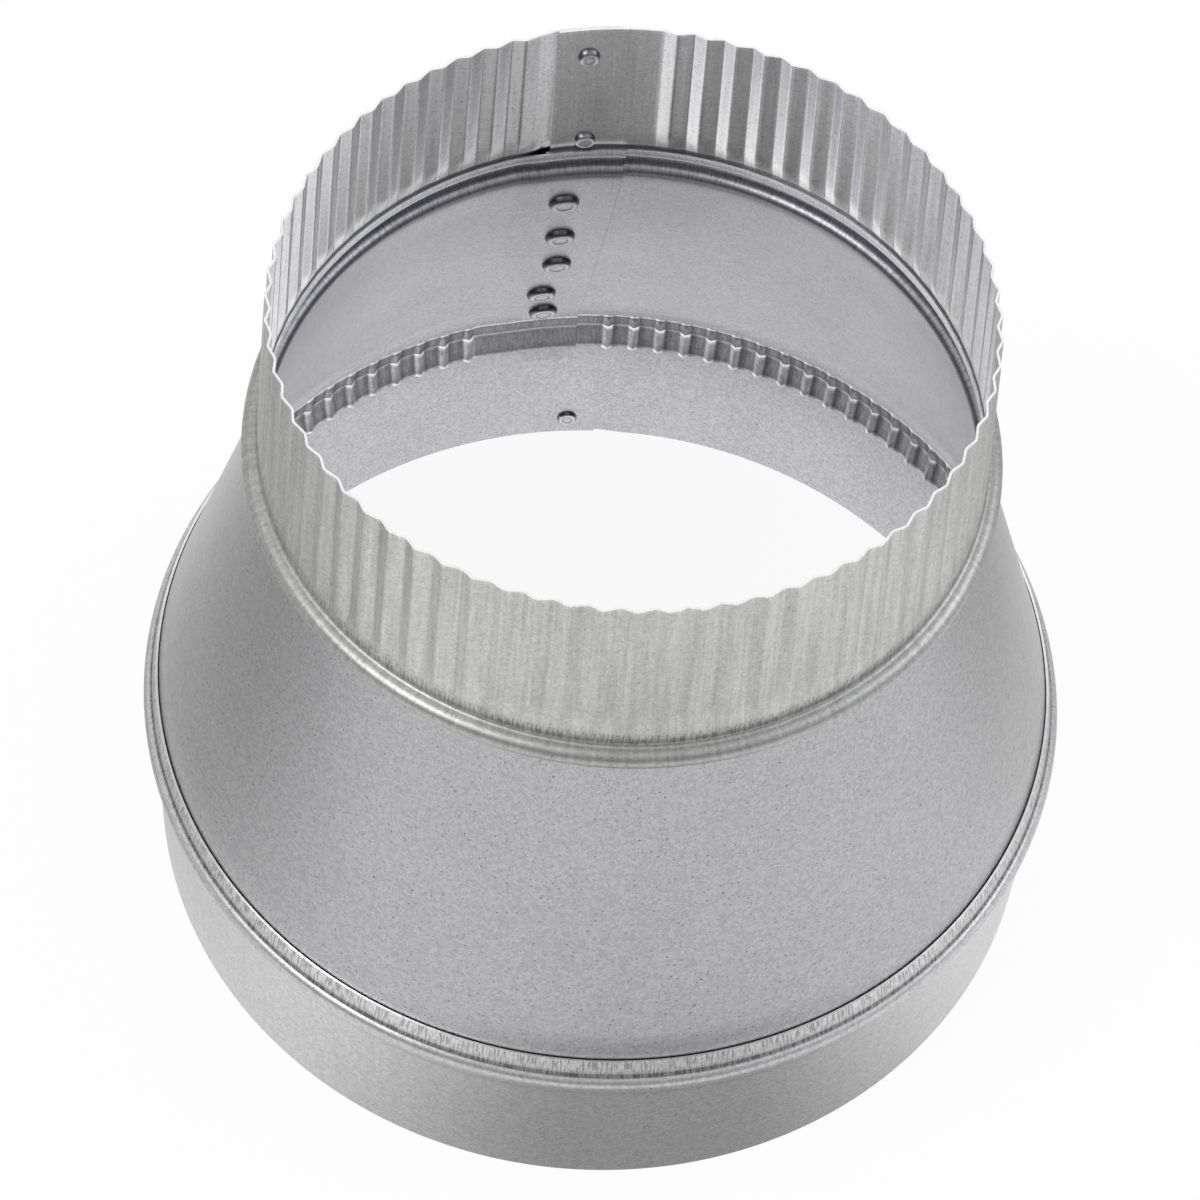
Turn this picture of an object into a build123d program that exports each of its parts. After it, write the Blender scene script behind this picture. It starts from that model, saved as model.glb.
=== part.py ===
from build123d import *
from math import acos, atan2, ceil, cos, degrees, radians, sin, sqrt
import os

# Round duct reducer, three rolled sheets of galvanized steel: a plain collar for the
# large end, a cone, and a crimped collar for the small end. The cone ends inside both
# collars, and a bead rolled through each pair of sheets locks them together.
# +Z runs along the axis from the large end to the small end, with z = 0 on the large
# end's rim. Angles are measured from +X towards +Y, and the lap seams are near +Y.

# Sheet
sheet = 0.5
lap_gap = 0.05
nest_gap = 0.08
nest = sheet + nest_gap

# Plain collar, the large end
bore_radius = 101.6
collar_height = 51.5
large_bead_height = 44.0
large_bead_crest = 2.0
large_bead_round = 3.0
large_foot_low = 3.0
large_foot_high = 1.2
seat_height = 32.2
seat_flare = 0.25
collar_lip_lean = 0.8
collar_seam_angle = 94.4
collar_lap = 8.0
collar_ramp = 4.0

# Cone
crease_height = 49.3
neck_height = 132.4
neck_rim_height = 141.2
cone_seam_angle = 107.2
cone_lap_low = 9.4
cone_lap_high = 13.6
cone_ramp = 5.0
spigot_rim_height = 36.0
crease_clearance = 0.2
spigot_swell = 0.6
spigot_taper = 0.8
ridge_depth = 0.9
ridge_pitch = 6.35
ridge_land = 0.58
ridge_tip = 0.79
ridge_clear_arc = 6.0
tongue_drop = 3.6
tongue_arc = 8.2

# Crimped collar, the small end
small_radius = 75.6
overall_height = 182.0
small_bead_height = 136.3
small_bead_crest = 3.4
small_bead_round = 2.4
small_foot = 1.0
crimp_start = 141.4
crimp_full = 148.0
crimp_depth = 1.0
crimp_count = 68
crimp_share = 0.45
crimp_end_crest = 73.1
crimp_full_crest = 75.3
flat_rise = 0.2
small_seam_angle = 106.5
small_lap = 10.75
small_flat_arc = 17.5
small_ramp = 3.0

# Buttons pressed outwards through both layers of a lap
cone_button = 3.5
collar_button = 2.4
button_rim = 0.35
button_depth = 1.2
button_boss = 0.9
button_draft = 22
cone_buttons = [(103.2, 119.7), (102.7, 100.2), (102.3, 83.7), (103.7, 66.0), (102.9, 55.1)]
small_buttons = [(101.2, 173.0), (100.8, 144.2)]
large_buttons = [(98.3, 5.6)]

# Worked out from the sizes above
collar_radius = bore_radius + sheet
neck_radius = small_radius - nest
lip_foot_height = large_bead_height + 3.6
crease_radius = (bore_radius - crease_clearance
                 - collar_lip_lean * (crease_height - lip_foot_height) / (collar_height - lip_foot_height))
swell_radius = bore_radius + spigot_swell
rim_radius = swell_radius - spigot_taper
cone_slope = (crease_radius - neck_radius) / (neck_height - crease_height)
slope_stretch = sqrt(1 + cone_slope**2)
lap_step = sheet + lap_gap
smooth_step = 2.6
chord_inset = 0.04


def radial_plane(angle):
    """The upright plane through the axis at an angle, with x outwards and y up."""
    c, s = cos(radians(angle)), sin(radians(angle))
    return Plane(origin=(0, 0, 0), x_dir=(c, s, 0), z_dir=(s, -c, 0))


def bead_line(wall, height, crest, ball, foot_low, foot_high, inward, flare=0):
    """One face of a rolled bead, drawn upwards: foot, round and foot, inward of the wall.

    flare is how far the wall below the bead has widened where it meets the lower foot.
    """
    centre = wall + crest - ball
    for foot, wide, side in ((foot_low, flare, -1), (foot_high, 0, 1)):
        across = wall + wide + foot - centre
        rise = sqrt((ball + foot) ** 2 - across**2)
        turn = degrees(acos(across / (ball + foot)))
        foot_centre = (wall + wide + foot, height + side * rise)
        if side < 0:
            CenterArc(foot_centre, foot + inward, 180, -turn)
            CenterArc((centre, height), ball - inward, -turn, turn)
        else:
            CenterArc((centre, height), ball - inward, 0, turn)
            CenterArc(foot_centre, foot + inward, 180 + turn, -turn)


def bead_feet(wall, crest, ball, foot):
    """How far above or below the bead's middle its foot runs out into the wall."""
    return sqrt((ball + foot) ** 2 - (wall + foot - (wall + crest - ball)) ** 2)


def plain_face(plane, inward):
    """Section of the plain collar: round bore, flare round the spigot, bead, and lip on the cone."""
    low = large_bead_height - bead_feet(collar_radius, large_bead_crest - seat_flare, large_bead_round,
                                        large_foot_low)
    high = large_bead_height + bead_feet(collar_radius, large_bead_crest, large_bead_round, large_foot_high)
    with BuildSketch(plane) as section:
        with BuildLine():
            for depth in (inward, inward + sheet):
                wall = collar_radius - depth
                Line((wall, 0), (wall, seat_height))
                Line((wall, seat_height), (wall + seat_flare, low))
                bead_line(collar_radius, large_bead_height, large_bead_crest, large_bead_round,
                          large_foot_low, large_foot_high, depth, seat_flare)
                Line((wall, high), (wall - collar_lip_lean, collar_height))
            rim = collar_radius - inward
            Line((rim - sheet, 0), (rim, 0))
            Line((rim - sheet - collar_lip_lean, collar_height), (rim - collar_lip_lean, collar_height))
        make_face()
    return section.sketch.face()


def cone_face(plane, inward):
    """Section of the cone, from the crease above its spigot to the rim inside the neck."""
    low = small_bead_height - bead_feet(small_radius, small_bead_crest, small_bead_round, small_foot)
    high = small_bead_height + bead_feet(small_radius, small_bead_crest, small_bead_round, small_foot)
    with BuildSketch(plane) as section:
        with BuildLine():
            for depth in (inward, inward + sheet):
                foot = (crease_radius - depth * slope_stretch, crease_height)
                neck = neck_radius - depth
                turn_in = neck_height - depth * (slope_stretch - 1) / cone_slope
                Line(foot, (neck, turn_in))
                Line((neck, turn_in), (neck, low))
                bead_line(small_radius, small_bead_height, small_bead_crest, small_bead_round,
                          small_foot, small_foot, nest + depth)
                Line((neck, high), (neck, neck_rim_height))
            outer = crease_radius - inward * slope_stretch
            Line((outer - sheet * slope_stretch, crease_height), (outer, crease_height))
            rim = neck_radius - inward
            Line((rim - sheet, neck_rim_height), (rim, neck_rim_height))
        make_face()
    return section.sketch.face()


def small_bead_face(plane, inward):
    """Section of the crimped collar's bead, up to where the crimps begin."""
    low = small_bead_height - bead_feet(small_radius, small_bead_crest, small_bead_round, small_foot)
    high = small_bead_height + bead_feet(small_radius, small_bead_crest, small_bead_round, small_foot)
    with BuildSketch(plane) as section:
        with BuildLine():
            for depth in (inward, inward + sheet):
                bead_line(small_radius, small_bead_height, small_bead_crest, small_bead_round,
                          small_foot, small_foot, depth)
                Line((small_radius - depth, high), (small_radius - depth, crimp_start))
            wall = small_radius - inward
            Line((wall - sheet, low), (wall, low))
            Line((wall - sheet, crimp_start), (wall, crimp_start))
        make_face()
    return section.sketch.face()


def rolled_sheet(draw_face, start, lap, ramp, turn, step):
    """A sheet rolled once round, whose far end ramps by step to lap the near end.

    turn is 1 where the sheet leaves its near end towards larger angles, and -1 where it
    leaves towards smaller ones. A positive step takes the far end inwards.
    """
    whole = 360 - ramp
    first = start if turn > 0 else start - whole
    ramp_near = start + turn * whole
    ramp_far = start + turn * 360
    lap_first = ramp_far if turn > 0 else ramp_far - lap
    revolve(draw_face(radial_plane(first), 0), axis=Axis.Z, revolution_arc=whole)
    near = draw_face(radial_plane(ramp_near), 0)
    far = draw_face(radial_plane(ramp_far), step)
    loft(sections=[near, far], ruled=True)
    revolve(draw_face(radial_plane(lap_first), step), axis=Axis.Z, revolution_arc=lap)


def strip_face(height, stations, thickness, inset=0):
    """Cross-section of a rolled sheet through stations of angle and outer radius.

    Where the strip meets a round wall, inset keeps its straight chords within that wall.
    """
    tuck = degrees(inset / stations[0][1])
    way = 1 if stations[1][0] > stations[0][0] else -1
    angles = [angle for angle, radius in stations]
    angles[0] += way * tuck
    angles[-1] -= way * tuck
    radii = [radius for angle, radius in stations]
    outer = [(a, r - inset) for a, r in zip(angles, radii)]
    inner = [(a, r - thickness + inset) for a, r in zip(angles, radii)]
    around = [(r * cos(radians(a)), r * sin(radians(a))) for a, r in outer + inner[::-1]]
    with BuildSketch(Plane.XY.offset(height)) as section:
        with BuildLine():
            Polyline(*around, close=True)
        make_face()
    return section.sketch.face()


def run(first, last, radius):
    """Stations along a plain stretch, at most smooth_step degrees apart."""
    steps = max(1, ceil(abs(last - first) / smooth_step))
    return [(first + (last - first) * i / steps, radius) for i in range(steps + 1)]


def crimped_stations(crest, valley, flat):
    """The small end's sheet: flat under the lap, crimped all round, flat over the lap."""
    start = small_seam_angle
    first = start - small_flat_arc
    last = start - 360 + small_ramp
    pitch = (first - last) / crimp_count
    stations = run(start, first, flat)
    for i in range(crimp_count):
        stations.append((first - (i + crimp_share) * pitch, valley))
        if i < crimp_count - 1:
            stations.append((first - (i + 1) * pitch, crest))
    stations.append((last, flat))
    stations += run(last - small_ramp, last - small_ramp - small_lap, flat + lap_step)
    return stations


def spigot_stations(radius, depth, step):
    """The cone's spigot: lands with narrow ridges pressed inwards, plain at the lap."""
    start = cone_seam_angle
    first = start - cone_lap_low - ridge_clear_arc
    last = start - 360 + cone_ramp
    count = round(radians(first - last) * bore_radius / ridge_pitch)
    pitch = (first - last) / count
    stations = run(start, first, radius)
    for i in range(count):
        corner = first - i * pitch
        stations.append((corner - ridge_land * pitch, radius))
        stations.append((corner - ridge_tip * pitch, radius - depth))
        stations.append((corner - pitch, radius))
    stations += run(last - cone_ramp, last - cone_ramp - cone_lap_low, radius - step)
    return stations


def press_button(angle, height, outer, radius, stack, slope):
    """A round button pressed outwards through the layers of a lap, hollow on the inside."""
    lean = atan2(slope, 1)
    c, s = cos(radians(angle)), sin(radians(angle))
    normal = (cos(lean) * c, cos(lean) * s, sin(lean))
    boss = radius + button_rim
    outside = Plane(origin=(outer * c, outer * s, height), z_dir=normal)
    with BuildSketch(outside) as top:
        Circle(boss)
    with BuildSketch(outside.offset(-0.8 * stack)) as layers:
        Circle(boss)
    with BuildSketch(outside.offset(-stack)) as hollow:
        Circle(radius)
    extrude(top.sketch, amount=button_boss, taper=button_draft)
    extrude(layers.sketch, amount=0.8 * stack)
    extrude(hollow.sketch, amount=button_depth, taper=button_draft, mode=Mode.SUBTRACT)
    extrude(hollow.sketch, amount=-stack, mode=Mode.SUBTRACT)


# Plain collar: its near end lies inside the lap, so the bore stays round
with BuildPart() as plain_collar:
    rolled_sheet(plain_face, collar_seam_angle, collar_lap, collar_ramp, 1, -lap_step)
    for button_angle, button_height in large_buttons:
        press_button(button_angle, button_height, collar_radius + lap_step, collar_button,
                     sheet + lap_step, 0)

# The cone's free edge slants across its lap: this wedge of the inner layer comes off
edge_low = radians(cone_seam_angle - cone_lap_low)
edge_high = radians(cone_seam_angle - cone_lap_high)
low_point = Vector(crease_radius * cos(edge_low), crease_radius * sin(edge_low), crease_height)
high_point = Vector(neck_radius * cos(edge_high), neck_radius * sin(edge_high), neck_rim_height)
edge_way = high_point - low_point
outward = Vector(cos(edge_low), sin(edge_low), 0)
slant = Plane(origin=low_point, x_dir=edge_way, z_dir=outward.cross(edge_way))
with BuildPart() as spare_wedge:
    lap_end = cone_face(radial_plane(cone_seam_angle - cone_lap_high), lap_step)
    revolve(lap_end, axis=Axis.Z, revolution_arc=cone_lap_high - cone_lap_low)
    split(bisect_by=slant, keep=Keep.TOP)

# Cone: its far end laps inside, above a crimped spigot that fits the plain collar
with BuildPart() as cone:
    rolled_sheet(cone_face, cone_seam_angle, cone_lap_high, cone_ramp, -1, lap_step)
    add(spare_wedge.part, mode=Mode.SUBTRACT)
    for button_angle, button_height in cone_buttons:
        cone_radius = crease_radius - cone_slope * (button_height - crease_height)
        press_button(button_angle, button_height, cone_radius, cone_button,
                     (sheet + lap_step) * slope_stretch, cone_slope)
    rim_strip = strip_face(spigot_rim_height, spigot_stations(rim_radius, ridge_depth, lap_step), sheet)
    swell_strip = strip_face(large_bead_height, spigot_stations(swell_radius, ridge_depth, lap_step), sheet)
    crease_strip = strip_face(crease_height,
                              spigot_stations(crease_radius, 0, lap_step * slope_stretch),
                              sheet * slope_stretch, chord_inset)
    loft(sections=[rim_strip, swell_strip, crease_strip], ruled=True)
    # The inner layer was cut longer, so a tongue hangs below the spigot's rim
    tongue_wall = rim_radius - lap_step
    with BuildSketch(radial_plane(cone_seam_angle - cone_lap_low)):
        with Locations((tongue_wall - sheet / 2, spigot_rim_height - tongue_drop / 2)):
            Rectangle(sheet, tongue_drop)
    revolve(axis=Axis.Z, revolution_arc=tongue_arc)

# Crimped collar: its far end laps outside, and the crimps draw the small end in
with BuildPart() as crimped_collar:
    rolled_sheet(small_bead_face, small_seam_angle, small_lap, small_ramp, -1, -lap_step)
    full_flat = crimp_full_crest - crimp_depth / 2 + flat_rise
    end_flat = crimp_end_crest - crimp_depth / 2 + flat_rise
    start_strip = strip_face(crimp_start, crimped_stations(small_radius, small_radius, small_radius),
                             sheet, chord_inset)
    full_strip = strip_face(crimp_full,
                            crimped_stations(crimp_full_crest, crimp_full_crest - crimp_depth, full_flat),
                            sheet)
    end_strip = strip_face(overall_height,
                           crimped_stations(crimp_end_crest, crimp_end_crest - crimp_depth, end_flat),
                           sheet)
    loft(sections=[start_strip, full_strip, end_strip], ruled=True)
    small_slope = (full_flat - end_flat) / (overall_height - crimp_full)
    for button_angle, button_height in small_buttons:
        wall = full_flat - small_slope * (button_height - crimp_full)
        press_button(button_angle, button_height, wall + lap_step, collar_button,
                     sheet + lap_step, small_slope)

plain_collar.part.label = "plain_collar"
cone.part.label = "cone"
crimped_collar.part.label = "crimped_collar"

os.makedirs("parts", exist_ok=True)
export_step(plain_collar.part, "parts/plain_collar.step")
export_step(cone.part, "parts/cone.step")
export_step(crimped_collar.part, "parts/crimped_collar.step")
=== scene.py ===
from math import acos, cos, degrees, radians, sin, sqrt

import bmesh
import bpy
import numpy as np
from mathutils import Matrix, Vector


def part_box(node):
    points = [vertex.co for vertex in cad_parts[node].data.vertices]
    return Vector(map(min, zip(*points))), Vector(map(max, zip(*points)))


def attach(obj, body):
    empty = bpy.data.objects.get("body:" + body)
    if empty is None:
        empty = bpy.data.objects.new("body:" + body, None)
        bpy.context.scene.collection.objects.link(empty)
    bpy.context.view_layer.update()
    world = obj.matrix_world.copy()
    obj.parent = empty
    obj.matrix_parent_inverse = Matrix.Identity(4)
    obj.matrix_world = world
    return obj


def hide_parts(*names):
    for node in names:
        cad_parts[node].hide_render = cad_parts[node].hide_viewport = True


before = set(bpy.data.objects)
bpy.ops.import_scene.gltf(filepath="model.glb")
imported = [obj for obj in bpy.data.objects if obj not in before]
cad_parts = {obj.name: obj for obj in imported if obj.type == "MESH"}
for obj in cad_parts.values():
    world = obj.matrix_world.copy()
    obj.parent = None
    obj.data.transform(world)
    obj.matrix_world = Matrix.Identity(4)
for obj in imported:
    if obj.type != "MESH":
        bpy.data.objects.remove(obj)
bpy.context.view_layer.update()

# Plain collar
# A strip of galvanized sheet, rolled into a ring for the large end of the reducer. It laps
# at the back, where one clinched button holds it. A bead is rolled round it near its top,
# and above the bead a narrow lip closes on the cone.
millimetre = 0.001
collar_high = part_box("plain_collar")[1] / millimetre
sheet = 0.5
lap_gap = 0.05
lap_step = sheet + lap_gap
large_bead_crest = 2.0
large_bead_ball = 3.0
large_bead_feet = (3.0, 1.2)
seat_height = 32.2
seat_flare = 0.25
large_bead_height = 44.0
collar_radius = collar_high.x - large_bead_crest
collar_lip_lean = 1.05
collar_start = 94.4
collar_lap = 8.0
collar_ramp = 4.0
collar_button = (98.3, 5.6)
collar_button_radius = 2.1
collar_button_rise = 0.9
collar_field = 4.2
collar_window = 4.3


def straight(first, last, steps):
    """Points along a straight stretch of a profile, without its first point."""
    share = [(i + 1) / steps for i in range(steps)]
    return [(first[0] + (last[0] - first[0]) * t, first[1] + (last[1] - first[1]) * t) for t in share]


def arc(centre, radius, first, last, steps):
    """Points round a circular arc of a profile, without its first point."""
    turns = [radians(first + (last - first) * (i + 1) / steps) for i in range(steps)]
    return [(centre[0] + radius * cos(turn), centre[1] + radius * sin(turn)) for turn in turns]


def bead(wall, height, crest, ball, feet, inward=0.0, steps=6, flare=0.0):
    """A rolled bead drawn upwards from the wall: lower foot, round and upper foot.

    inward draws the same bead on a sheet that nests that far inside, and flare is how far
    the wall has widened where it meets the lower foot.
    """
    middle = wall + crest - ball
    points = []
    for foot, wide, side in zip(feet, (flare, 0.0), (-1, 1)):
        across = wall + wide + foot - middle
        rise = sqrt((ball + foot) ** 2 - across**2)
        turn = degrees(acos(across / (ball + foot)))
        corner = (wall + wide + foot, height + side * rise)
        if side < 0:
            points.append((wall + wide - inward, corner[1]))
            points += arc(corner, foot + inward, 180, 180 - turn, steps // 2 + 1)
            points += arc((middle, height), ball - inward, -turn, 0, steps)
        else:
            points += arc((middle, height), ball - inward, 0, turn, steps)
            points += arc(corner, foot + inward, 180 + turn, 180, steps // 2 + 1)
    return points


def along(line):
    """Length run along a profile at each of its points."""
    steps = np.hypot(*np.diff(np.array(line), axis=0).T)
    return np.concatenate([[0.0], np.cumsum(steps)])


def spaced(first, last, step):
    """Angles from first up to last, no more than step apart, without the last."""
    count = max(1, int(np.ceil((last - first) / step)))
    return list(np.linspace(first, last, count + 1)[:-1])


def flat_sheet(line, angles):
    """The unrolled sheet: a grid with x as angle in degrees and y as length up the profile."""
    bm = bmesh.new()
    # A layer of painted shade and highlights, which the buttons and pieces fill in.
    bm.verts.layers.float.new("painted_shade")
    columns = len(angles) - 1
    rows = len(line) - 1
    bmesh.ops.create_grid(bm, x_segments=columns, y_segments=rows, size=0.5)
    heights = along(line)
    for vertex in bm.verts:
        column = round((vertex.co.x + 0.5) * columns)
        row = round((vertex.co.y + 0.5) * rows)
        vertex.co = (angles[column], heights[row], 0.0)
    return bm


# Each ring of a button has its share of the radius, its share of the rise, and how light its
# upper and lower sides are painted: painted shade and highlights round the boss. Its points
# start about a point step apart.
point_step = 1.3
long_edge = 2.0
button_rings = ((1.3, 0.0, 1.0, 1.0), (1.16, 0.01, 0.9, 1.2), (1.06, 0.08, 0.4, 1.25),
                (1.0, 0.3, 0.22, 1.0), (0.94, 0.75, 0.26, 0.8), (0.88, 0.95, 0.34, 0.9),
                (0.8, 1.0, 1.45, 1.3), (0.68, 1.0, 1.1, 1.0), (0.58, 0.94, 0.35, 0.4),
                (0.48, 0.92, 1.0, 1.0), (0.2, 0.9, 1.1, 1.1))


def press_button(bm, angle, height, radius, rise, wall, window):
    """Presses a round button through the flat sheet, so that it stands out inside the duct.

    wall is the radius that the sheet is rolled to there. The faces whose middles lie in a
    square window round the button give way to its rings.
    """
    painted_shading = bm.verts.layers.float["painted_shade"]
    per_degree = radians(wall)
    half = window / per_degree

    def inside(face):
        """Whether the middle of a face lies in the window."""
        middle = face.calc_center_median()
        return abs(middle.x - angle) < half and abs(middle.y - height) < window

    patch = [face for face in bm.faces if inside(face)]
    merged = bmesh.ops.dissolve_faces(bm, faces=patch, use_verts=True)["region"][0]
    uprights = [edge for edge in merged.edges if abs(edge.verts[0].co.x - edge.verts[1].co.x) < 1e-4
                and edge.calc_length() > long_edge]
    for edge in uprights:
        bmesh.ops.subdivide_edges(bm, edges=[edge], cuts=round(edge.calc_length() / point_step))
    middle = Vector((angle, height, 0.0))
    for share, depth, upper, lower in button_rings:
        bmesh.ops.inset_individual(bm, faces=[merged], thickness=0.01)
        for vertex in merged.verts:
            way = Vector(((vertex.co.x - angle) * per_degree, vertex.co.y - height, 0.0)).normalized()
            vertex.co = middle + Vector((way.x / per_degree, way.y, 0.0)) * radius * share
            vertex.co.z = -rise * depth
            # Painted shade and highlights: each point takes its ring's upper or lower lightness by its side.
            vertex[painted_shading] = lower + (upper - lower) * (0.5 + 0.5 * way.y) - 1.0
    bmesh.ops.poke(bm, faces=[merged])


def smooth_step(value):
    """0 below 0, 1 above 1, and an even ramp between them."""
    t = min(max(value, 0.0), 1.0)
    return t * t * (3 - 2 * t)


def unshaded(angle, level):
    """A sheet with neither painted shade nor painted highlight of its own at any angle and level."""
    return 1.0


rim_round = 0.07
rim_turn = 55
overhang = 10.0
slope_step = 0.05


def roll_up(name, bm, line, offset, surface, inner_surface, painted_shade=unshaded):
    """Rolls the flat sheet round the axis, keeps its flat shape as its UV map and thickens it.

    offset gives where the sheet lies at an angle and a level, and the last argument how light it is painted
    there: painted shade and highlights.
    What hangs below the profile follows its first stretch down.
    """
    heights = along(line)
    radii = np.array([point[0] for point in line])
    levels = np.array([point[1] for point in line])
    uv_map = bm.loops.layers.uv.new("sheet")
    middle_radius = radii.mean()
    for face in bm.faces:
        face.smooth = True
        for loop in face.loops:
            flat = loop.vert.co
            loop[uv_map].uv = (radians(flat.x) * middle_radius * millimetre, flat.y * millimetre)
    below = radii[0] - (radii[1] - radii[0]) / (heights[1] - heights[0]) * overhang
    run = np.concatenate([[-overhang], heights])
    run_radii = np.concatenate([[below], radii])
    run_levels = np.concatenate([[levels[0] - overhang], levels])
    painted_shading = bm.verts.layers.float["painted_shade"]
    for vertex in bm.verts:
        angle, height, proud = vertex.co
        radius = float(np.interp(height, run, run_radii))
        level = float(np.interp(height, run, run_levels))
        # The piece's painted shade and highlights, times the buttons' painted shade and highlights.
        vertex[painted_shading] = painted_shade(angle, level) * (1.0 + vertex[painted_shading])
        if proud:
            before = height - slope_step
            after = height + slope_step
            out = float(np.interp(after, run, run_radii) - np.interp(before, run, run_radii))
            rise = float(np.interp(after, run, run_levels) - np.interp(before, run, run_levels))
            length = sqrt(out**2 + rise**2)
            radius += proud * rise / length
            level -= proud * out / length
        angle, radius, level = offset(angle, radius, level)
        turn = radians(angle)
        vertex.co = Vector((radius * cos(turn), radius * sin(turn), level)) * millimetre
    mesh = bpy.data.meshes.new(name)
    bm.to_mesh(mesh)
    bm.free()
    piece = bpy.data.objects.new(name, mesh)
    bpy.context.scene.collection.objects.link(piece)
    for finish in (surface, cut_edge_highlight, inner_surface):
        mesh.materials.append(finish)
    wall = piece.modifiers.new("sheet", "SOLIDIFY")
    wall.thickness = sheet * millimetre
    wall.offset = -1.0
    wall.material_offset_rim = 1
    wall.material_offset = 2
    rim = piece.modifiers.new("rim", "BEVEL")
    rim.width = rim_round * millimetre
    rim.segments = 2
    rim.limit_method = "ANGLE"
    rim.angle_limit = radians(rim_turn)
    rim.harden_normals = True
    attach(piece, "root")
    return piece


def add_node(tree, kind, place, **values):
    """One shader node at a place in the graph, with its settings and input values."""
    node = tree.nodes.new(kind)
    node.location = place
    for key, value in values.items():
        if key in node.inputs:
            node.inputs[key].default_value = value
        else:
            setattr(node, key, value)
    return node


def galvanized_group():
    """Zinc coat on rolled steel: crystal grain, dark specks, mill streaks, stains, tool ticks, and painted
    shade and highlights.
    """
    tree = bpy.data.node_groups.new("galvanized coat", "ShaderNodeTree")
    tree.interface.new_socket("Tone", in_out="INPUT", socket_type="NodeSocketColor")
    for label in ("Grain", "Specks", "Streaks", "Stains", "Roughness", "Half shade", "Ticks", "Painted shading"):
        tree.interface.new_socket(label, in_out="INPUT", socket_type="NodeSocketFloat")
    tree.interface.new_socket("Color", in_out="OUTPUT", socket_type="NodeSocketColor")
    for label in ("Roughness", "Height"):
        tree.interface.new_socket(label, in_out="OUTPUT", socket_type="NodeSocketFloat")
    inputs = tree.nodes.new("NodeGroupInput")
    outputs = tree.nodes.new("NodeGroupOutput")
    inputs.location = (-1200, 0)
    outputs.location = (1300, 0)
    sheet_map = add_node(tree, "ShaderNodeUVMap", (-1400, 300), uv_map="sheet")
    # Painted shade and highlights carried on the sheet's points.
    painted_shade = add_node(tree, "ShaderNodeAttribute", (300, -500), attribute_name="painted_shade")
    link = tree.links.new

    def pattern(kind, scale, place, stretch=None, **values):
        """A texture on the flat sheet, which stretch may draw out along it."""
        node = add_node(tree, kind, place, Scale=scale, **values)
        if stretch:
            drawn = add_node(tree, "ShaderNodeMapping", (place[0] - 200, place[1]))
            drawn.inputs["Scale"].default_value = stretch
            link(sheet_map.outputs["UV"], drawn.inputs["Vector"])
            link(drawn.outputs["Vector"], node.inputs["Vector"])
        else:
            link(sheet_map.outputs["UV"], node.inputs["Vector"])
        return node

    def maths(operation, first, second, place):
        """One sum or product of two sockets, or of a socket and a number."""
        node = add_node(tree, "ShaderNodeMath", place, operation=operation)
        for socket, value in zip(node.inputs, (first, second)):
            if isinstance(value, (int, float)):
                socket.default_value = value
            else:
                link(value, socket)
        return node.outputs[0]

    def mask(source, low, high, place):
        """1 where a texture stands above high, 0 below low."""
        node = add_node(tree, "ShaderNodeMapRange", place)
        node.inputs["From Min"].default_value = low
        node.inputs["From Max"].default_value = high
        link(source, node.inputs["Value"])
        return node.outputs[0]

    grain = pattern("ShaderNodeTexNoise", 2300.0, (-900, 700), Detail=2.0, Roughness=0.8)
    crystals = pattern("ShaderNodeTexVoronoi", 1500.0, (-900, 450))
    crystal_tone = add_node(tree, "ShaderNodeSeparateColor", (-700, 450))
    link(crystals.outputs["Color"], crystal_tone.inputs[0])
    specks = pattern("ShaderNodeTexNoise", 1500.0, (-900, 200), Detail=1.0, Roughness=0.5)
    streaks = pattern("ShaderNodeTexNoise", 1.0, (-900, -50), (900.0, 30.0, 1.0), Detail=4.0, Roughness=0.65)
    stains = pattern("ShaderNodeTexNoise", 30.0, (-900, -300), Detail=4.0, Roughness=0.6)
    ticks = pattern("ShaderNodeTexNoise", 1.0, (-900, -550), (2300.0, 240.0, 1.0), Detail=0.0)

    grain_part = maths("SUBTRACT", grain.outputs["Fac"], 0.5, (-600, 700))
    crystal_swing = maths("SUBTRACT", crystal_tone.outputs[0], 0.5, (-600, 450))
    crystal_part = maths("MULTIPLY", crystal_swing, 0.3, (-450, 450))
    speckle = maths("ADD", grain_part, crystal_part, (-300, 600))
    fine = maths("MULTIPLY", speckle, inputs.outputs["Grain"], (-150, 600))
    streak_part = maths("MULTIPLY", maths("SUBTRACT", streaks.outputs["Fac"], 0.5, (-600, -50)),
                        inputs.outputs["Streaks"], (-450, -50))
    stain_part = maths("MULTIPLY", maths("SUBTRACT", stains.outputs["Fac"], 0.5, (-600, -300)),
                       inputs.outputs["Stains"], (-450, -300))
    speck_part = maths("MULTIPLY", mask(specks.outputs["Fac"], 0.66, 0.76, (-600, 200)),
                       inputs.outputs["Specks"], (-450, 200))
    tick_part = maths("MULTIPLY", mask(ticks.outputs["Fac"], 0.50, 0.60, (-600, -550)),
                      inputs.outputs["Ticks"], (-450, -550))
    soft = maths("ADD", maths("ADD", fine, streak_part, (0, 400)), stain_part, (150, 300))
    level = maths("ADD", maths("SUBTRACT", soft, speck_part, (300, 250)), 1.0, (450, 250))
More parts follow.
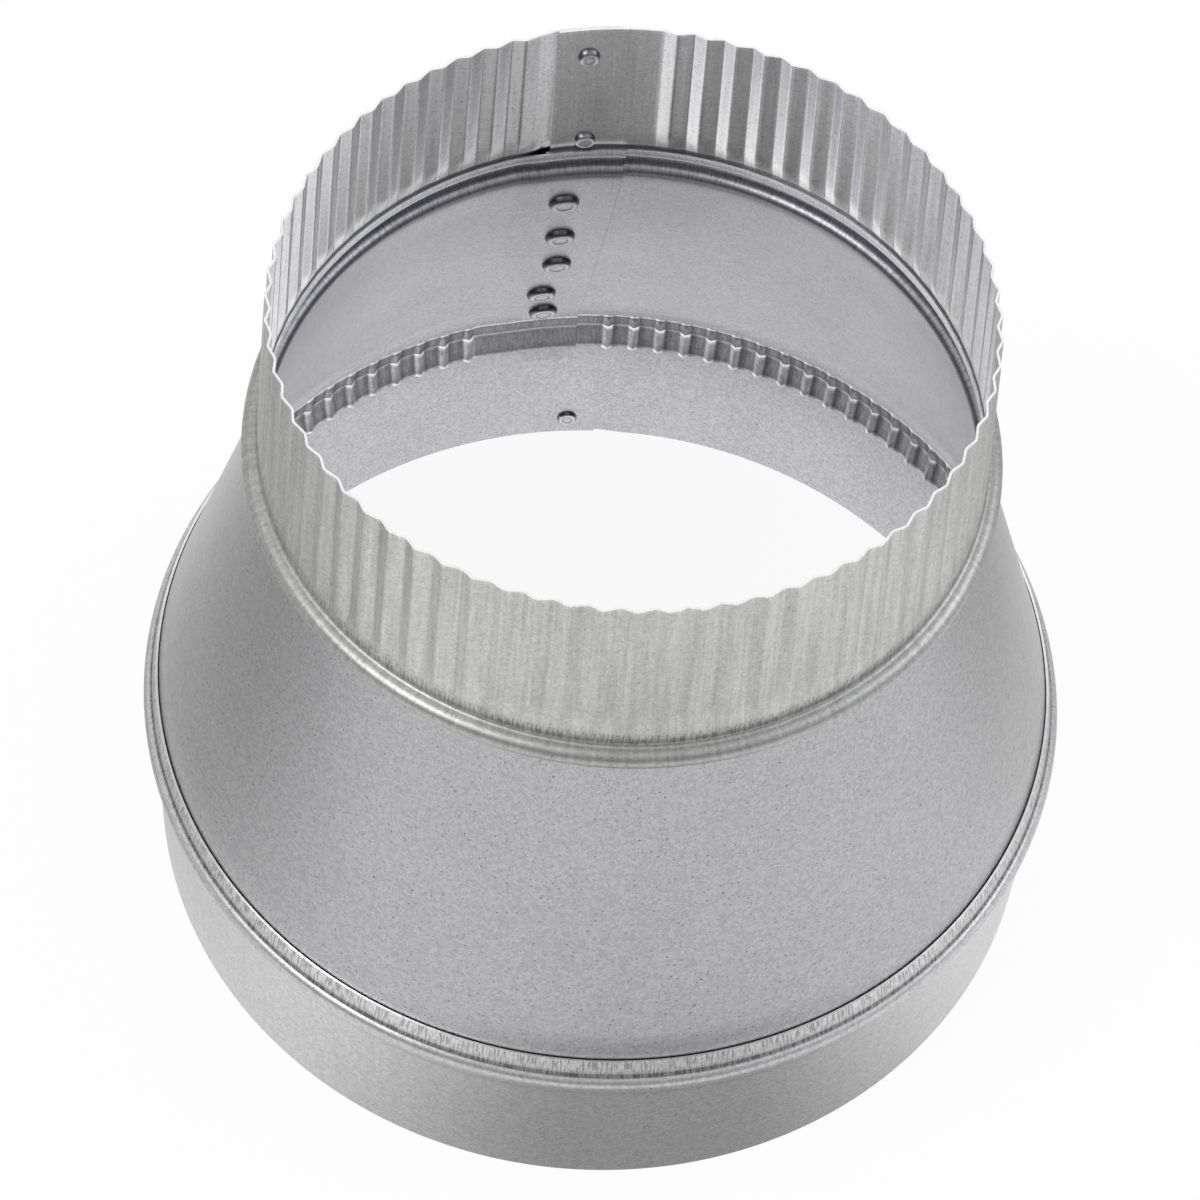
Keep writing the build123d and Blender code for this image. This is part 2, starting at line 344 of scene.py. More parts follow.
    # Painted shade and highlights from the points, scaled per finish, times the painted shade bands.
    painted_shading_swing = maths("MULTIPLY", maths("SUBTRACT", painted_shade.outputs["Fac"], 1.0, (500, -500)),
                   inputs.outputs["Painted shading"], (650, -500))
    shade = maths("MULTIPLY", maths("MULTIPLY", inputs.outputs["Half shade"], 2.0, (300, -100)),
                  maths("ADD", painted_shading_swing, 1.0, (800, -500)), (450, -100))
    ticked = maths("MULTIPLY", shade, maths("SUBTRACT", 1.0, tick_part, (450, -300)), (600, -100))
    whole = maths("MULTIPLY", level, ticked, (750, 100))
    tint = add_node(tree, "ShaderNodeVectorMath", (950, 100), operation="SCALE")
    link(inputs.outputs["Tone"], tint.inputs[0])
    link(whole, tint.inputs["Scale"])
    link(tint.outputs["Vector"], outputs.inputs["Color"])
    link(maths("SUBTRACT", inputs.outputs["Roughness"], stain_part, (950, -150)), outputs.inputs["Roughness"])
    relief = maths("SUBTRACT", maths("ADD", fine, streak_part, (750, -350)), tick_part, (950, -350))
    link(relief, outputs.inputs["Height"])
    return tree


coat = galvanized_group()
grain_relief = 0.03


def sheet_metal(name, tone, roughness, grain, specks, streaks, stains, bands, painted_shading=1.0):
    """A galvanized finish with its own tone, its painted shade and highlights, and tool ticks.

    bands are what shows at each length up the sheet: the length, how light it is painted, and how ticked.
    """
    material = bpy.data.materials.new(name)
    material.use_nodes = True
    tree = material.node_tree
    shader = tree.nodes["Principled BSDF"]
    shader.inputs["Metallic"].default_value = 1.0
    finish = add_node(tree, "ShaderNodeGroup", (-500, 0), node_tree=coat)
    for label, value in (("Tone", (*tone, 1.0)), ("Grain", grain), ("Specks", specks),
                         ("Streaks", streaks), ("Stains", stains), ("Roughness", roughness),
                         ("Half shade", 0.5), ("Ticks", 0.0), ("Painted shading", painted_shading)):
        finish.inputs[label].default_value = value
    if bands:
        whole = bands[-1][0]
        sheet_map = add_node(tree, "ShaderNodeUVMap", (-1400, 0), uv_map="sheet")
        split = add_node(tree, "ShaderNodeSeparateXYZ", (-1200, 0))
        share = add_node(tree, "ShaderNodeMath", (-1000, 0), operation="DIVIDE")
        share.inputs[1].default_value = whole * millimetre
        ramp = add_node(tree, "ShaderNodeValToRGB", (-800, 0))
        stops = ramp.color_ramp.elements
        while len(stops) < len(bands):
            stops.new(1.0)
        for stop, (length, light, ticked) in zip(stops, bands):
            stop.position = length / whole
            stop.color = (light / 2, light / 2, light / 2, ticked)
        tree.links.new(sheet_map.outputs["UV"], split.inputs["Vector"])
        tree.links.new(split.outputs["Y"], share.inputs[0])
        tree.links.new(share.outputs[0], ramp.inputs["Fac"])
        tree.links.new(ramp.outputs["Color"], finish.inputs["Half shade"])
        tree.links.new(ramp.outputs["Alpha"], finish.inputs["Ticks"])
    tree.links.new(finish.outputs["Color"], shader.inputs["Base Color"])
    tree.links.new(finish.outputs["Roughness"], shader.inputs["Roughness"])
    bump = add_node(tree, "ShaderNodeBump", (-250, -250), Strength=0.35)
    bump.inputs["Distance"].default_value = grain_relief * millimetre
    tree.links.new(finish.outputs["Height"], bump.inputs["Height"])
    tree.links.new(bump.outputs["Normal"], shader.inputs["Normal"])
    return material


def length_at(line, level):
    """Length run along a profile up to a level."""
    levels = [point[1] for point in line]
    return float(np.interp(level, levels, along(line)))


def bands_up(line, first_light, stops):
    """Bands for a finish: how light the lower edge is painted, then the level, painted light and ticks of
    each stop.
    """
    bands = [(0.0, first_light, 0.0)]
    for level, light, ticked in stops:
        bands.append((length_at(line, level), light, ticked))
    return bands


# The rims of each sheet, set much lighter than its faces: partly the bare steel's own colour, partly a
# painted highlight.
cut_edge_highlight = sheet_metal("cut edge highlight", (0.92, 0.92, 0.92), 0.3, grain=0.2, specks=0.1, streaks=0.3,
                       stains=0.0, bands=(), painted_shading=0.0)

large_bead_line = bead(collar_radius, large_bead_height, large_bead_crest, large_bead_ball,
                       large_bead_feet, steps=8, flare=seat_flare)
lip_top = (collar_radius - collar_lip_lean, collar_high.z)
collar_line = [(collar_radius, 0.0)]
button_low = collar_button[1] - collar_field
button_top = collar_button[1] + collar_field
collar_line += straight(collar_line[-1], (collar_radius, button_low), 1)
collar_line += straight(collar_line[-1], (collar_radius, button_top), 4)
collar_line += straight(collar_line[-1], (collar_radius, seat_height), 6)
collar_line += straight(collar_line[-1], large_bead_line[0], 3)
collar_line += large_bead_line[1:]
collar_line += straight(collar_line[-1], lip_top, 4)
collar_end = collar_start + 360 + collar_lap
collar_angles = spaced(collar_start, collar_end, 1.0) + [collar_end]
collar_sheet = flat_sheet(collar_line, collar_angles)
for lap_turn in (0, 360):
    press_button(collar_sheet, collar_button[0] + lap_turn, collar_button[1], collar_button_radius,
                 collar_button_rise, collar_radius, collar_window)


def collar_shape(angle, radius, level):
    """The far end steps out over the near one."""
    past_lap = angle - collar_start - 360
    return angle, radius + lap_step * smooth_step((past_lap + collar_ramp) / collar_ramp), level


# Painted shade below the bead and in the valley at its upper foot, and painted highlights on the bead and
# the lip above it; the rolls left ticks on the lip and in the valley.
collar_bands = bands_up(collar_line, 0.95, (
    (37.8, 1.0, 0.0), (38.8, 0.86, 0.0), (40.4, 0.98, 0.0), (44.0, 1.0, 0.0), (46.5, 1.05, 0.0),
    (46.9, 0.5, 0.5), (47.4, 0.42, 0.5), (47.9, 0.95, 0.2), (48.6, 1.1, 0.4), (50.9, 1.15, 0.4),
    (51.5, 1.2, 0.3)))
collar_finish = sheet_metal("galvanized collar", (0.58, 0.575, 0.58), 0.32, grain=0.8, specks=0.5,
                            streaks=0.16, stains=0.08, bands=collar_bands)
# The inside of the same sheet, given a darker tone than the outside: painted shade.
collar_inside = sheet_metal("galvanized collar inside", (0.52, 0.52, 0.55), 0.34, grain=0.8, specks=0.6,
                            streaks=0.10, stains=0.12, bands=())
plain_collar = roll_up("plain_collar_sheet", collar_sheet, collar_line, collar_shape,
                       collar_finish, collar_inside)
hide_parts("plain_collar")

# Cone
# A fan of galvanized sheet, rolled and clinched at the back with five buttons. Its lower end
# is crimped into a spigot that swells into the plain collar's bead. Its upper end is a short
# neck, held by a bead inside the crimped collar.
cone_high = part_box("cone")[1] / millimetre
nest_gap = 0.08
nest = sheet + nest_gap
large_bore_radius = 101.6
small_radius = 75.6
small_bead_height = 136.3
small_bead_crest = 3.4
small_bead_ball = 2.4
small_bead_feet = (1.0, 1.0)
neck_radius = small_radius - nest
neck_height = 132.4
crease_radius = 101.0
crease_height = 49.3
crease_out, crease_below = 0.1, 0.7
crease_in, crease_inner, crease_above = 0.28, 0.22, 0.4
swell_radius = cone_high.x
swell_in, swell_below, swell_above = 0.1, 0.5, 0.4
spigot_taper = 0.8
rim_radius = swell_radius - spigot_taper
rim_height = 36.0
rim_out, rim_rise = 0.1, 0.6
neck_bend = 2.0
neck_bend_in, neck_bend_up = 0.35, 0.25
cone_start = 107.2
cone_lap_low = 9.4
cone_lap_high = 13.6
cone_ramp = 5.0
lap_ease = 1.05
cone_step = lap_ease * lap_step
cone_buttons = ((103.2, 119.7), (102.7, 100.2), (102.3, 83.7), (103.7, 66.0), (102.9, 54.4))
cone_button_radius = 3.1
cone_button_rise = 1.3
cone_window = 4.7
ridge_depth = 0.9
ridge_clear = 1.5
ridge_step = 6.35
ridge_fade = 1.2
ridge_top, ridge_flank, ridge_foot = 0.21, 0.31, 0.42
knob_low, knob_high = 43.2, 44.2
knob_first, knob_last = 0.08, 0.4
# Painted light on the cone: a thin painted shadow line at each free edge, painted highlights on the spigot's
# knobs and ridge flanks, and painted shade along its folds and ridge feet.
edge_line = 0.22
edge_shade = 0.55
knob_highlight = 2.0
fold_shade = 0.4
flank_highlight = 1.7
foot_shade = 0.62
column_step = 0.7
shear_from = 6.6
tongue_drop = 3.6
tongue_first, tongue_last = 97.8, 106.0

slope = (crease_radius - neck_radius) / (neck_height - crease_height)
slope_length = sqrt(1 + slope**2)
cone_line = [(rim_radius, rim_height)]
for corner, steps in (((rim_radius + rim_out, rim_height + rim_rise), 1),
                      ((swell_radius - swell_in, large_bead_height - swell_below), 6),
                      ((swell_radius, large_bead_height), 1),
                      ((swell_radius - swell_in, large_bead_height + swell_above), 1),
                      ((crease_radius + crease_out, crease_height - crease_below), 4),
                      ((crease_radius - crease_in, crease_height), 2),
                      ((crease_radius - crease_inner, crease_height + crease_above), 1)):
    cone_line += straight(cone_line[-1], corner, steps)
window_edges = sorted([height + side * cone_window / slope_length
                       for angle, height in cone_buttons for side in (-1, 1)])
for level in window_edges:
    cone_line.append((crease_radius - slope * (level - crease_height), level))
neck_corners = [(neck_radius + slope * neck_bend * inward, neck_height - neck_bend * down)
                for inward, down in ((1, 1), (neck_bend_in, neck_bend_up))]
for corner in neck_corners:
    cone_line += straight(cone_line[-1], corner, 2)
small_inner_line = bead(small_radius, small_bead_height, small_bead_crest, small_bead_ball,
                        small_bead_feet, inward=nest, steps=7)
cone_line += small_inner_line
cone_line += straight(cone_line[-1], (neck_radius, cone_high.z), 2)

ridge_first = cone_start - 360 + cone_ramp
ridge_last = cone_start - cone_lap_low - ridge_clear
ridge_count = round(radians(ridge_last - ridge_first) * large_bore_radius / ridge_step)
ridge_pitch = (ridge_last - ridge_first) / ridge_count
cone_end = cone_start - 360 - cone_lap_high
cone_angles = [cone_end] + spaced(cone_end + edge_line, ridge_first, column_step)
ridge_places = (0.0, 0.11, ridge_top, ridge_flank, ridge_foot, 0.7)
for ridge in range(ridge_count):
    cone_angles += [ridge_first + (ridge + place) * ridge_pitch for place in ridge_places]
cone_angles += spaced(ridge_last, cone_start - edge_line, column_step) + [cone_start - edge_line, cone_start]
cone_sheet = flat_sheet(cone_line, cone_angles)
cone_run = along(cone_line)
cone_levels = [point[1] for point in cone_line]
for button_angle, button_height in cone_buttons:
    button_run = float(np.interp(button_height, cone_levels, cone_run))
    button_wall = crease_radius - slope * (button_height - crease_height)
    for lap_turn in (0, -360):
        press_button(cone_sheet, button_angle + lap_turn, button_run, cone_button_radius,
                     cone_button_rise, button_wall, cone_window)
# A short tongue of the lap hangs below the spigot.
tongue_edges = [edge for edge in cone_sheet.edges if edge.is_boundary
                and max(vertex.co.y for vertex in edge.verts) < 1e-3
                and all(tongue_first - 360 < vertex.co.x < tongue_last - 360 for vertex in edge.verts)]
hung = bmesh.ops.extrude_edge_only(cone_sheet, edges=tongue_edges)["geom"]
for vertex in [item for item in hung if isinstance(item, bmesh.types.BMVert)]:
    vertex.co.y -= tongue_drop


def ridge_height(angle):
    """How far a spigot ridge is pressed inwards at an angle, as a share of its depth."""
    if not ridge_first < angle < ridge_last:
        return 0.0
    place = ((angle - ridge_first) / ridge_pitch) % 1.0
    return smooth_step(1 - abs(place - ridge_top) / ridge_top)


def cone_shape(angle, radius, level):
    """Ridges on the spigot, and a far end that steps in behind a slanted edge."""
    if level < crease_height:
        fade = min(1.0, (crease_height - level) / ridge_fade)
        radius -= ridge_depth * ridge_height(angle) * fade
    behind = cone_start - 360 - angle
    radius -= cone_step * smooth_step((behind + cone_ramp) / cone_ramp)
    if behind > shear_from:
        share = min(max((level - crease_height) / (cone_high.z - crease_height), 0.0), 1.0)
        edge = cone_lap_low + (cone_lap_high - cone_lap_low) * share
        reach = (edge - shear_from) / (cone_lap_high - shear_from)
        angle = cone_start - 360 - shear_from - (behind - shear_from) * reach
    return angle, radius, level


def cone_painted_shade(angle, level):
    """Painted highlights on the spigot's knobs and flanks, and painted shade on its folds and feet and in a
    thin line at each free edge.
    """
    if min(angle - cone_end, cone_start - angle) < edge_line / 2:
        return edge_shade
    if level > crease_height + 0.1 or not ridge_first < angle < ridge_last:
        return 1.0
    place = ((angle - ridge_first) / ridge_pitch) % 1.0
    if knob_low < level < knob_high and knob_first < place < knob_last:
        return knob_highlight
    if min(place, 1 - place) < 0.01:
        return fold_shade
    if abs(place - ridge_flank) < 0.02:
        return flank_highlight
    return foot_shade if abs(place - ridge_foot) < 0.01 else 1.0


# Painted shade: a little darker just above the crease, and a dark line along the neck's bend.
cone_bands = bands_up(cone_line, 1.0, (
    (49.8, 0.92, 0.0), (51.0, 0.95, 0.0), (54.0, 1.0, 0.0), (129.0, 1.0, 0.0), (131.6, 0.95, 0.0),
    (132.4, 0.7, 0.0), (132.9, 1.05, 0.0), (141.2, 1.0, 0.0)))
cone_finish = sheet_metal("galvanized cone", (0.465, 0.465, 0.475), 0.32, grain=0.75, specks=0.7,
                          streaks=0.06, stains=0.07, bands=cone_bands, painted_shading=0.7)
# Inside, from the bottom: the spigot and its knobs, the crease, the wall, and the neck's bead, with
# painted highlights on the spigot's rim, the knobs' line, the crease and the bead, and painted shade
# in the cells, beside the crease and in the bead's groove.
cone_inner_bands = bands_up(cone_line, 1.5, (
    (36.5, 1.4, 0.0), (37.0, 0.45, 0.2), (39.0, 0.62, 0.2), (43.0, 0.7, 0.2), (43.7, 1.2, 0.0),
    (44.05, 1.1, 0.0), (44.5, 0.3, 0.0), (45.4, 0.5, 0.3), (47.8, 0.5, 0.3), (48.7, 0.28, 0.0),
    (49.0, 1.6, 0.0), (49.8, 1.5, 0.0), (50.3, 0.9, 0.0), (52.0, 1.0, 0.0), (130.6, 1.0, 0.0),
    (131.6, 0.85, 0.0), (132.6, 0.8, 0.0), (133.8, 0.6, 0.2), (134.6, 0.55, 0.3), (136.0, 0.65, 0.3),
    (136.6, 1.5, 0.1), (137.3, 1.8, 0.1), (139.2, 1.9, 0.1), (139.9, 1.3, 0.1), (140.5, 1.5, 0.0),
    (141.2, 1.7, 0.0)))
# The inside of the same sheet, given a lighter tone than the outside: painted light.
cone_inside = sheet_metal("galvanized cone inside", (0.495, 0.495, 0.525), 0.34, grain=0.7, specks=0.6,
                          streaks=0.05, stains=0.12, bands=cone_inner_bands)
cone = roll_up("cone_sheet_rolled", cone_sheet, cone_line, cone_shape,
               cone_finish, cone_inside, cone_painted_shade)
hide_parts("cone")

# Crimped collar
# A strip of galvanized sheet rolled into a ring for the small end and lapped at the back,
# with two clinched buttons. Its bead grips the cone's neck. Above the bead it is crimped all
# round but at the lap, which draws the free end in.
overall_height = (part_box("crimped_collar")[1] / millimetre).z
crimp_start = 141.2
crimp_full = 148.0
crimp_depth = 1.0
crimp_count = 68
crimp_crest_end = 73.1
crimp_crest_full = 75.3
crimped_start = 106.5
crimped_lap = 10.75
crimped_flat = 17.5
crimped_ramp = 3.0
small_buttons = ((101.2, 173.0), (100.8, 144.2))
small_button_radius = 2.0
small_button_rise = 1.1
small_window = 4.0
flat_step = 0.8

crimped_line = bead(small_radius, small_bead_height, small_bead_crest, small_bead_ball,
                    small_bead_feet, steps=8)
crimped_line += straight(crimped_line[-1], (small_radius, crimp_start), 2)
crimped_line += straight(crimped_line[-1], (small_radius, overall_height), 20)
crimp_first = crimped_start - 360 + crimped_ramp
crimp_last = crimped_start - crimped_flat
crimp_pitch = (crimp_last - crimp_first) / crimp_count
crimped_end = crimped_start - 360 - crimped_lap
crimp_valley = 0.55
crimp_fold = 0.04
flat_fall = 0.3
# Painted shade on each crimp's folds and wide flank, and a painted highlight on its narrow flank.
crimp_fold_shade = 0.5
wide_flank_shade = 0.84
narrow_flank_highlight = 1.3
crimp_places = (0.0, crimp_fold, 2 * crimp_fold, 0.3,
                crimp_valley - 2 * crimp_fold, crimp_valley - crimp_fold, crimp_valley,
                crimp_valley + crimp_fold, crimp_valley + 2 * crimp_fold,
                1 - 2 * crimp_fold, 1 - crimp_fold)
crimped_angles = spaced(crimped_end, crimp_first, flat_step)
for crimp in range(crimp_count):
    crimped_angles += [crimp_first + (crimp + place) * crimp_pitch for place in crimp_places]
crimped_angles += spaced(crimp_last, crimped_start, flat_step) + [crimped_start]
crimped_sheet = flat_sheet(crimped_line, crimped_angles)
crimped_run = along(crimped_line)
crimped_levels = [point[1] for point in crimped_line]
for button_angle, button_height in small_buttons:
    button_run = float(np.interp(button_height, crimped_levels, crimped_run))
    for lap_turn in (0, -360):
        press_button(crimped_sheet, button_angle + lap_turn, button_run, small_button_radius,
                     small_button_rise, small_radius, small_window)


def crimp_fall(angle):
    """How far a crimp falls in from its crest at an angle, as a share of its depth.

    The lap stays flat, and the crimps beside it start from there.
    """
    if not crimp_first < angle < crimp_last:
        return flat_fall
    crimp = (angle - crimp_first) / crimp_pitch
    place = crimp % 1.0
    beside_lap = crimp < crimp_valley or crimp > crimp_count - 1 + crimp_valley
    crest = flat_fall if beside_lap else 0.0
    down = place / crimp_valley if place < crimp_valley else (1 - place) / (1 - crimp_valley)
    fall = crest + (1 - crest) * down
    spread = 2 * crimp_fold
    steep = 0.5 / crimp_valley + 0.5 / (1 - crimp_valley)
    from_valley = abs(place - crimp_valley)
    if from_valley < spread:
        fall -= steep * (spread - from_valley) ** 2 / (2 * spread)
    from_crest = min(place, 1 - place)
    if from_crest < spread and not beside_lap:
        fall += steep * (spread - from_crest) ** 2 / (2 * spread)
    return fall


def crimped_shape(angle, radius, level):
    """Crimps that grow from the bead up and draw the end in, and a far end that steps out."""
    if level > crimp_start:
        grown = smooth_step((level - crimp_start) / (crimp_full - crimp_start))
        drawn = (level - crimp_full) / (overall_height - crimp_full)
        crest = crimp_crest_full - (crimp_crest_full - crimp_crest_end) * max(drawn, 0.0)
        crest = small_radius + (crest - small_radius) * grown
        radius += crest - small_radius - crimp_depth * grown * crimp_fall(angle)
    behind = crimped_start - 360 - angle
    radius += lap_step * smooth_step((behind + crimped_ramp) / crimped_ramp)
    return angle, radius, level


def crimped_painted_shade(angle, level):
    """Painted shade along the crimps' folds and on their wide flanks, and a painted highlight on their narrow
    flanks.
    """
    if level < crimp_start or not crimp_first < angle < crimp_last:
        return 1.0
    place = ((angle - crimp_first) / crimp_pitch) % 1.0
    near = min(abs(place - spot) for spot in (0.0, crimp_valley, 1.0))
    if near < crimp_fold / 2:
        return crimp_fold_shade
    return wide_flank_shade if place < crimp_valley else narrow_flank_highlight


# Outside, painted shade on the upper side of the bead and a painted highlight along the top rim;
# the rolls left ticks above the bead.
crimped_bands = bands_up(crimped_line, 0.8, (
    (133.0, 1.0, 0.0), (134.4, 0.95, 0.0), (136.2, 0.92, 0.0), (137.4, 0.68, 0.0), (139.1, 0.62, 0.0),
    (139.6, 0.92, 0.3), (140.8, 1.0, 0.4), (142.1, 1.0, 0.35), (142.7, 1.0, 0.0), (180.9, 1.0, 0.0),
    (182.0, 1.15, 0.0)))
crimped_finish = sheet_metal("galvanized crimps", (0.57, 0.57, 0.56), 0.42, grain=0.6, specks=0.4,
                             streaks=0.75, stains=0.08, bands=crimped_bands, painted_shading=-0.08)
# Inside, a painted shadow line where the cone's neck ends, and a painted highlight along the top rim.
crimped_inner_bands = bands_up(crimped_line, 1.0, (
    (141.15, 0.4, 0.0), (141.3, 0.08, 0.0), (142.1, 0.1, 0.0), (142.5, 0.8, 0.0), (145.0, 1.0, 0.0),
    (160.0, 0.97, 0.0), (181.0, 1.0, 0.0), (182.0, 1.2, 0.0)))
# The inside of the same sheet, given a much lighter tone than the outside: painted light.
crimped_inside = sheet_metal("galvanized crimps inside", (0.74, 0.74, 0.75), 0.3, grain=0.6, specks=0.4,
                             streaks=0.6, stains=0.12, bands=crimped_inner_bands)
crimped_collar = roll_up("crimped_collar_sheet", crimped_sheet, crimped_line, crimped_shape,
                         crimped_finish, crimped_inside, crimped_painted_shade)
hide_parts("crimped_collar")

# Floor
# A white table that keeps a soft shadow. Reflections see it white too, but for soft dark patches
# painted into its glow, painted shadows like the ones that the object mirrors in the photo.
floor_white = 0.93
floor_mesh = bmesh.new()
bmesh.ops.create_grid(floor_mesh, x_segments=1, y_segments=1, size=4.0)
floor_data = bpy.data.meshes.new("floor")
floor_mesh.to_mesh(floor_data)
floor_mesh.free()
floor = bpy.data.objects.new("floor", floor_data)
bpy.context.scene.collection.objects.link(floor)
floor_finish = bpy.data.materials.new("white table")
floor_finish.use_nodes = True
floor_tree = floor_finish.node_tree
floor_shader = floor_tree.nodes["Principled BSDF"]
floor_shader.inputs["Base Color"].default_value = (0.8, 0.8, 0.8, 1.0)
floor_shader.inputs["Roughness"].default_value = 0.9
floor_shader.inputs["Specular IOR Level"].default_value = 0.0
glow = add_node(floor_tree, "ShaderNodeEmission", (0, -300), Strength=1.0)
seen = add_node(floor_tree, "ShaderNodeLightPath", (-600, 300))
direct = add_node(floor_tree, "ShaderNodeMath", (-400, 300), operation="MAXIMUM")
floor_tree.links.new(seen.outputs["Is Camera Ray"], direct.inputs[0])
floor_tree.links.new(seen.outputs["Is Transmission Ray"], direct.inputs[1])
camera_share = add_node(floor_tree, "ShaderNodeMath", (-200, 300), operation="MULTIPLY")
camera_share.inputs[1].default_value = floor_white
floor_tree.links.new(direct.outputs[0], camera_share.inputs[0])
floor_place = add_node(floor_tree, "ShaderNodeTexCoord", (-1600, -100))


def painted_shadow_patch(centre, radius, depth, row):
    """How white the floor's glow stays at and round a soft painted shadow patch."""
    gap = add_node(floor_tree, "ShaderNodeVectorMath", (-1400, row), operation="DISTANCE")
    gap.inputs[1].default_value = centre
    floor_tree.links.new(floor_place.outputs["Object"], gap.inputs[0])
    fall = add_node(floor_tree, "ShaderNodeMapRange", (-1200, row), interpolation_type="SMOOTHSTEP")
    for label, value in (("From Min", radius * 0.2), ("From Max", radius),
                         ("To Min", 1 - depth), ("To Max", 1.0)):
        fall.inputs[label].default_value = value
    floor_tree.links.new(gap.outputs["Value"], fall.inputs["Value"])
    return fall.outputs[0]


# Painted shadows: four soft dark patches in the glow that glossy rays see.
mirrored = seen.outputs["Is Glossy Ray"]
for centre, radius, depth, row in (((0.025, -0.12, 0), 0.11, 0.55, -100), ((0.014, 0, 0), 0.088, 0.88, -400),
                                   ((-0.27, 0.0, 0), 0.23, 0.52, -700), ((0.25, 0.11, 0), 0.19, 0.42, -1000)):
    product = add_node(floor_tree, "ShaderNodeMath", (-900, row), operation="MULTIPLY")
    floor_tree.links.new(mirrored, product.inputs[0])
    floor_tree.links.new(painted_shadow_patch(centre, radius, depth, row), product.inputs[1])
    mirrored = product.outputs[0]
brightness = add_node(floor_tree, "ShaderNodeMath", (-200, -300), operation="MAXIMUM")
floor_tree.links.new(direct.outputs[0], brightness.inputs[0])
floor_tree.links.new(mirrored, brightness.inputs[1])
floor_tree.links.new(brightness.outputs[0], glow.inputs["Strength"])
glow_part = add_node(floor_tree, "ShaderNodeMath", (0, 300), operation="MAXIMUM")
floor_tree.links.new(camera_share.outputs[0], glow_part.inputs[0])
floor_tree.links.new(seen.outputs["Is Glossy Ray"], glow_part.inputs[1])
blend = add_node(floor_tree, "ShaderNodeMixShader", (250, 100))
floor_tree.links.new(glow_part.outputs[0], blend.inputs[0])
floor_tree.links.new(floor_shader.outputs[0], blend.inputs[1])
floor_tree.links.new(glow.outputs[0], blend.inputs[2])
floor_tree.links.new(blend.outputs[0], floor_tree.nodes["Material Output"].inputs["Surface"])
floor_data.materials.append(floor_finish)

# Room and lamps
# A white room that is brighter above, to the left, to the right and behind, with two large
# soft lamps.
room_strength = 0.8
room = bpy.data.worlds.new("white room")
bpy.context.scene.world = room
room.use_nodes = True
room_tree = room.node_tree
room_light = room_tree.nodes["Background"]
room_way = add_node(room_tree, "ShaderNodeTexCoord", (-1400, -100))
room_level = add_node(room_tree, "ShaderNodeVectorMath", (-200, 100), operation="ADD")
room_level.inputs[0].default_value = (0.42, 0.42, 0.43)
for aim, first, last, colour, row in (((0, 0, 1), 0.25, 0.95, (0.62, 0.62, 0.60), -100),
                                      ((-0.80, 0.20, 0.55), 0.60, 0.96, (0.55, 0.55, 0.55), -400),
                                      ((0.85, -0.05, 0.50), 0.55, 0.96, (0.40, 0.42, 0.46), -700),
                                      ((0.10, 0.90, 0.40), 0.60, 0.98, (0.35, 0.35, 0.36), -1000)):
    toward = add_node(room_tree, "ShaderNodeVectorMath", (-1200, row), operation="DOT_PRODUCT")
    toward.inputs[1].default_value = Vector(aim).normalized()
    room_tree.links.new(room_way.outputs["Generated"], toward.inputs[0])
    glow_share = add_node(room_tree, "ShaderNodeMapRange", (-1000, row), interpolation_type="SMOOTHSTEP")
    glow_share.inputs["From Min"].default_value = first
    glow_share.inputs["From Max"].default_value = last
    room_tree.links.new(toward.outputs["Value"], glow_share.inputs["Value"])
    glowing = add_node(room_tree, "ShaderNodeVectorMath", (-800, row), operation="SCALE")
    glowing.inputs[0].default_value = colour
    room_tree.links.new(glow_share.outputs[0], glowing.inputs["Scale"])
    added = add_node(room_tree, "ShaderNodeVectorMath", (-600, row), operation="ADD")
    room_tree.links.new(glowing.outputs["Vector"], added.inputs[0])
    if row < -100:
        room_tree.links.new(room_sum, added.inputs[1])
    room_sum = added.outputs["Vector"]
room_tree.links.new(room_sum, room_level.inputs[1])
room_tree.links.new(room_level.outputs["Vector"], room_light.inputs["Color"])
room_light.inputs["Strength"].default_value = room_strength
room_seen = add_node(room_tree, "ShaderNodeLightPath", (-600, 300))
room_white = add_node(room_tree, "ShaderNodeBackground", (0, -200), Strength=1.0)
room_blend = add_node(room_tree, "ShaderNodeMixShader", (300, 100))
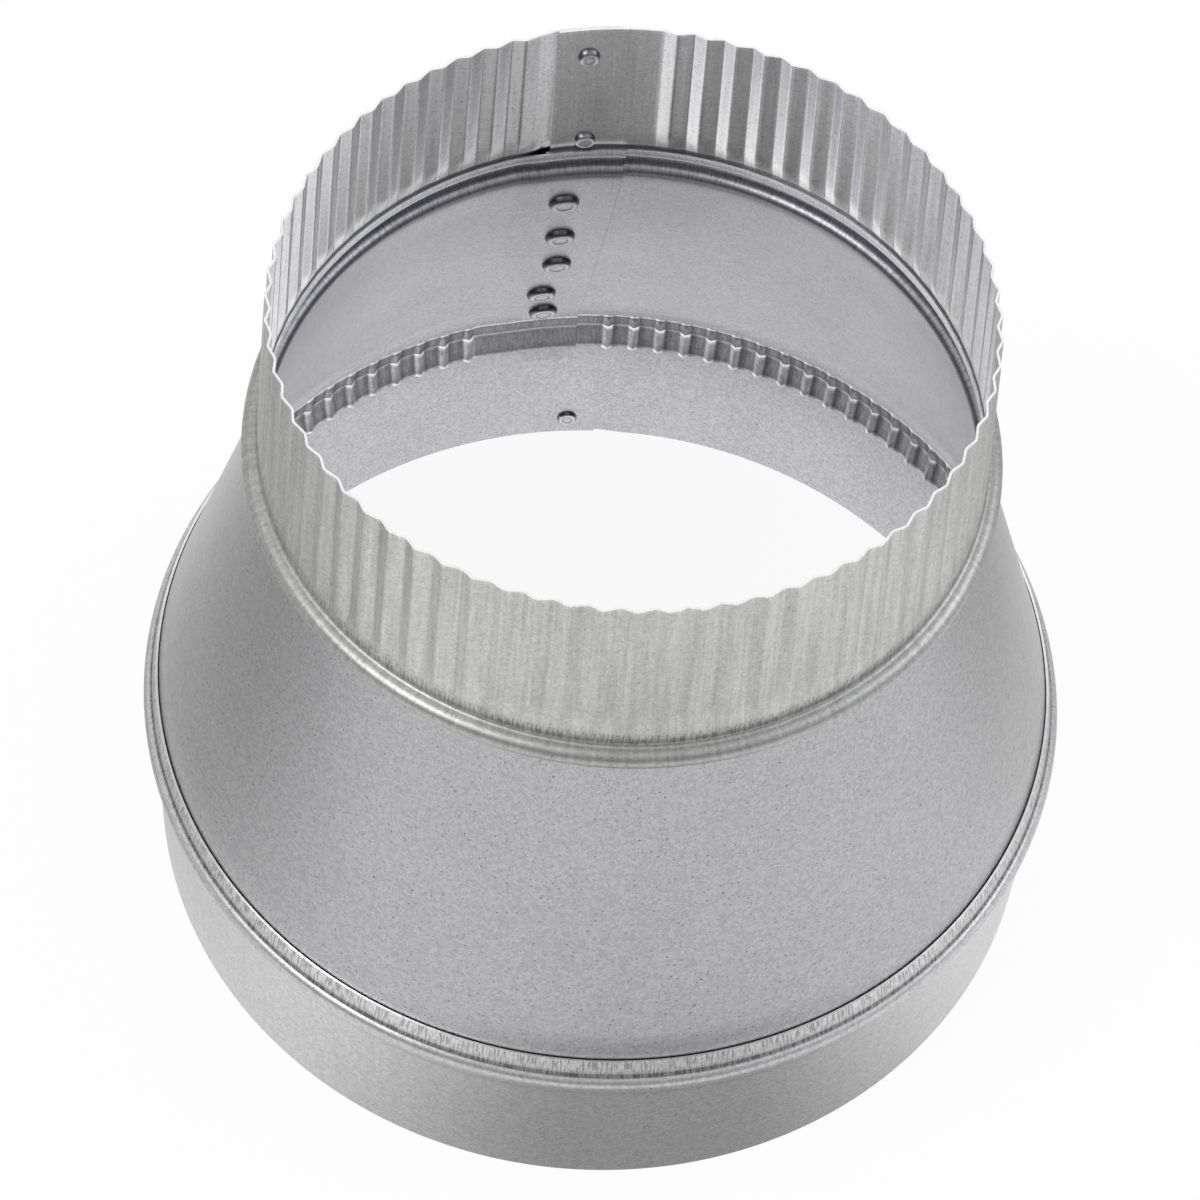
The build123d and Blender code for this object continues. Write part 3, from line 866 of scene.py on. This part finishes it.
room_tree.links.new(room_seen.outputs["Is Camera Ray"], room_blend.inputs[0])
room_tree.links.new(room_light.outputs[0], room_blend.inputs[1])
room_tree.links.new(room_white.outputs[0], room_blend.inputs[2])
room_tree.links.new(room_blend.outputs[0], room_tree.nodes["World Output"].inputs["Surface"])


def soft_lamp(name, place, aim, size, power):
    """A square soft lamp at a place, turned to face a point."""
    data = bpy.data.lights.new(name, "AREA")
    data.size = size
    data.energy = power
    lamp = bpy.data.objects.new(name, data)
    lamp.location = place
    lamp.rotation_euler = (Vector(aim) - Vector(place)).to_track_quat("-Z", "Y").to_euler()
    bpy.context.scene.collection.objects.link(lamp)


lamp_aim = (0, 0, 0.1)
soft_lamp("key", (-0.9, -0.6, 1.3), lamp_aim, size=0.8, power=9.0)
soft_lamp("fill", (1.1, 0.2, 0.9), lamp_aim, size=0.9, power=4.0)

# Camera
# Its place was worked out from the rings of the object: a long lens, looking down at it.
camera_distance = 0.8452
camera_elevation = radians(57.417)
camera_aim = Vector((0, 0, 0.04955))
camera_yaw = -0.0024762
camera_pitch = 0.0171136
camera_roll = 0.0837545
focal_share = 3723.68 / 1200
sensor_width = 36.0

camera_data = bpy.data.cameras.new("camera")
camera_data.sensor_width = sensor_width
camera_data.lens = sensor_width * focal_share
camera_data.clip_end = 20.0
camera = bpy.data.objects.new("camera", camera_data)
bpy.context.scene.collection.objects.link(camera)
back = Vector((0, -cos(camera_elevation), sin(camera_elevation)))
level_right = Vector((1, 0, 0))
ahead = (-back + camera_yaw * level_right + camera_pitch * level_right.cross(-back)).normalized()
right = ahead.cross(Vector((0, 0, 1))).normalized()
upward = right.cross(ahead)
turned_right = cos(camera_roll) * right + sin(camera_roll) * upward
turned_up = -sin(camera_roll) * right + cos(camera_roll) * upward
pose = Matrix((turned_right, turned_up, -ahead)).transposed().to_4x4()
pose.translation = camera_aim + back * camera_distance
camera.matrix_world = pose
bpy.context.scene.camera = camera
bpy.context.scene.view_settings.view_transform = "Standard"
